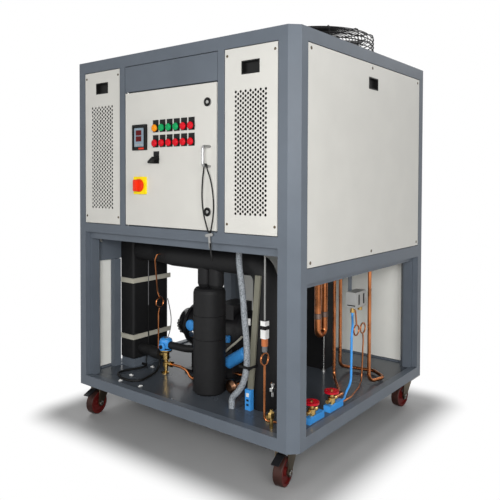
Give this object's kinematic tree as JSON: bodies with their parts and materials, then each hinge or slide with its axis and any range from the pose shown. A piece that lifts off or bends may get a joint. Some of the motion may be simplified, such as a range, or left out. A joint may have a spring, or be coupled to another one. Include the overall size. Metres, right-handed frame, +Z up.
{
  "type": "oil chiller",
  "caption": "Air-cooled oil chiller cabinet on swivel casters, with grille panels, a control door, roof fans and an open machine bay of pipes and vessels.",
  "frame": {"origin": "on the floor, at the centre of the object's bounding box in plan, including the door handle", "axes": "+Z up, +X to the right as seen from the front, -Y out of the front with the control door"},
  "size_m": [1.08, 1.04, 1.5037],
  "materials": {
    "floor_paint": "gloss dark grey floor plate",
    "frame_paint": "satin slate blue-grey paint",
    "panel_paint": "satin ivory powder coat",
    "black_plastic": "matt black",
    "fan_black": "satin black",
    "coil_fins": "dark finned",
    "zinc_plate": "zinc-plated sheet",
    "steel_pin": "bright plated",
    "chrome_trim": "polished",
    "lens_plastic": "clear coloured lens",
    "yellow_plastic": "satin yellow",
    "red_plastic": "satin red",
    "cord_fabric": "braided black cord",
    "zinc_cast": "zinc die cast",
    "foam_rubber": "closed-cell foam skin",
    "strap_paint": "cream paint",
    "brass_fitting": "machined",
    "cast_body": "painted casting",
    "drier_blue": "gloss blue",
    "copper": "drawn copper tube",
    "grey_plastic": "grey housing",
    "blue_rubber": "blue hose",
    "conduit_plastic": "grey corrugated",
    "channel_plastic": "olive grey",
    "sensor_plastic": "white housings",
    "cable_rubber": "black sheath",
    "caster_zinc": "dark bronze passivated",
    "wheel_red": "dark red polyurethane"
  },
  "bodies": {
    "cabinet": {"base_tray": "floor_paint", "corner_posts": "frame_paint", "frame_rails": "frame_paint", "front_mullions": "frame_paint", "mid_deck": "frame_paint", "grille_panels": "panel_paint", "header_panel": "panel_paint", "side_panels": "panel_paint", "rear_panels": "panel_paint", "panel_pulls": "black_plastic", "roof_panel": "panel_paint", "fan_rings": "fan_black", "fan_guards": "fan_black", "condenser_coils": "coil_fins", "control_cubicle": "zinc_plate", "mounting_plate": "zinc_plate", "door_pivots": "steel_pin", "evaporator": "foam_rubber", "second_exchanger": "foam_rubber", "evaporator_straps": "strap_paint", "evaporator_stand": "zinc_plate", "oil_ports": "brass_fitting", "suction_accumulator": "foam_rubber", "insulated_pipes": "foam_rubber", "compressor": "cast_body", "filter_drier": "drier_blue", "expansion_valve": "brass_fitting", "check_valve": "copper", "copper_pipes": "copper", "capillary_lines": "copper", "pressure_switch": "grey_plastic", "charging_hose": "blue_rubber", "service_valves": "brass_fitting", "flexible_conduit": "conduit_plastic", "cable_channel": "channel_plastic", "sensor_stack": "sensor_plastic", "floor_cable": "cable_rubber", "caster_plates": "steel_pin"},
    "door": {"control_door": "panel_paint", "door_fittings": "chrome_trim", "temperature_controller": "black_plastic", "pilot_lamps": "black_plastic", "pilot_lenses": "lens_plastic", "isolator_plate": "yellow_plastic", "key_lanyard": "cord_fabric", "panel_key": "zinc_cast"},
    "isolator": {"isolator_handle": "red_plastic"},
    "selector": {"selector_knob": "black_plastic"},
    "fan_left": {"fan_rotor_left": "fan_black"},
    "fan_right": {"fan_rotor_right": "fan_black"},
    "valve_wheel_front": {"handwheel_front": "red_plastic"},
    "valve_wheel_rear": {"handwheel_rear": "red_plastic"},
    "swivel_front_left": {"caster_fork_front_left": "caster_zinc"},
    "roller_front_left": {"caster_wheel_front_left": "wheel_red"},
    "swivel_front_right": {"caster_fork_front_right": "caster_zinc"},
    "roller_front_right": {"caster_wheel_front_right": "wheel_red"},
    "swivel_rear_left": {"caster_fork_rear_left": "caster_zinc"},
    "roller_rear_left": {"caster_wheel_rear_left": "wheel_red"},
    "swivel_rear_right": {"caster_fork_rear_right": "caster_zinc"},
    "roller_rear_right": {"caster_wheel_rear_right": "wheel_red"}
  },
  "joints": [
    {"name": "door_hinge", "type": "hinge", "parent": "cabinet", "child": "door", "pos_m": [-0.221, -0.472, 1.027], "axis": [0, 0, -1], "range_deg": [0, 100]},
    {"name": "isolator_turn", "type": "hinge", "parent": "door", "child": "isolator", "pos_m": [-0.142, -0.48, 0.935], "axis": [0, -1, 0], "range_deg": [0, 90]},
    {"name": "selector_turn", "type": "hinge", "parent": "door", "child": "selector", "pos_m": [-0.0592, -0.48, 1.029], "axis": [0, -1, 0], "range_deg": [0, 90]},
    {"name": "fan_left_spin", "type": "hinge", "parent": "cabinet", "child": "fan_left", "pos_m": [-0.29, 0.02, 1.457], "axis": [0, 0, 1], "continuous": true},
    {"name": "fan_right_spin", "type": "hinge", "parent": "cabinet", "child": "fan_right", "pos_m": [0.29, 0.02, 1.457], "axis": [0, 0, 1], "continuous": true},
    {"name": "handwheel_front_turn", "type": "hinge", "parent": "cabinet", "child": "valve_wheel_front", "pos_m": [0.484, -0.294, 0.221], "axis": [0, 0, 1], "continuous": true},
    {"name": "handwheel_rear_turn", "type": "hinge", "parent": "cabinet", "child": "valve_wheel_rear", "pos_m": [0.484, -0.164, 0.221], "axis": [0, 0, 1], "continuous": true},
    {"name": "swivel_front_left_turn", "type": "hinge", "parent": "cabinet", "child": "swivel_front_left", "pos_m": [-0.465, -0.405, 0.107], "axis": [0, 0, 1], "continuous": true},
    {"name": "roller_front_left_spin", "type": "hinge", "parent": "swivel_front_left", "child": "roller_front_left", "pos_m": [-0.45875, -0.44045, 0.045], "axis": [0.9848, 0.1736, 0], "continuous": true},
    {"name": "swivel_front_right_turn", "type": "hinge", "parent": "cabinet", "child": "swivel_front_right", "pos_m": [0.465, -0.405, 0.107], "axis": [0, 0, 1], "continuous": true},
    {"name": "roller_front_right_spin", "type": "hinge", "parent": "swivel_front_right", "child": "roller_front_right", "pos_m": [0.47125, -0.44045, 0.045], "axis": [0.9848, 0.1736, 0], "continuous": true},
    {"name": "swivel_rear_left_turn", "type": "hinge", "parent": "cabinet", "child": "swivel_rear_left", "pos_m": [-0.488, 0.445, 0.107], "axis": [0, 0, 1], "continuous": true},
    {"name": "roller_rear_left_spin", "type": "hinge", "parent": "swivel_rear_left", "child": "roller_rear_left", "pos_m": [-0.48424, 0.4092, 0.045], "axis": [0.9945, 0.1045, 0], "continuous": true},
    {"name": "swivel_rear_right_turn", "type": "hinge", "parent": "cabinet", "child": "swivel_rear_right", "pos_m": [0.488, 0.445, 0.107], "axis": [0, 0, 1], "continuous": true},
    {"name": "roller_rear_right_spin", "type": "hinge", "parent": "swivel_rear_right", "child": "roller_rear_right", "pos_m": [0.48424, 0.4092, 0.045], "axis": [0.9945, -0.1045, 0], "continuous": true}
  ]
}
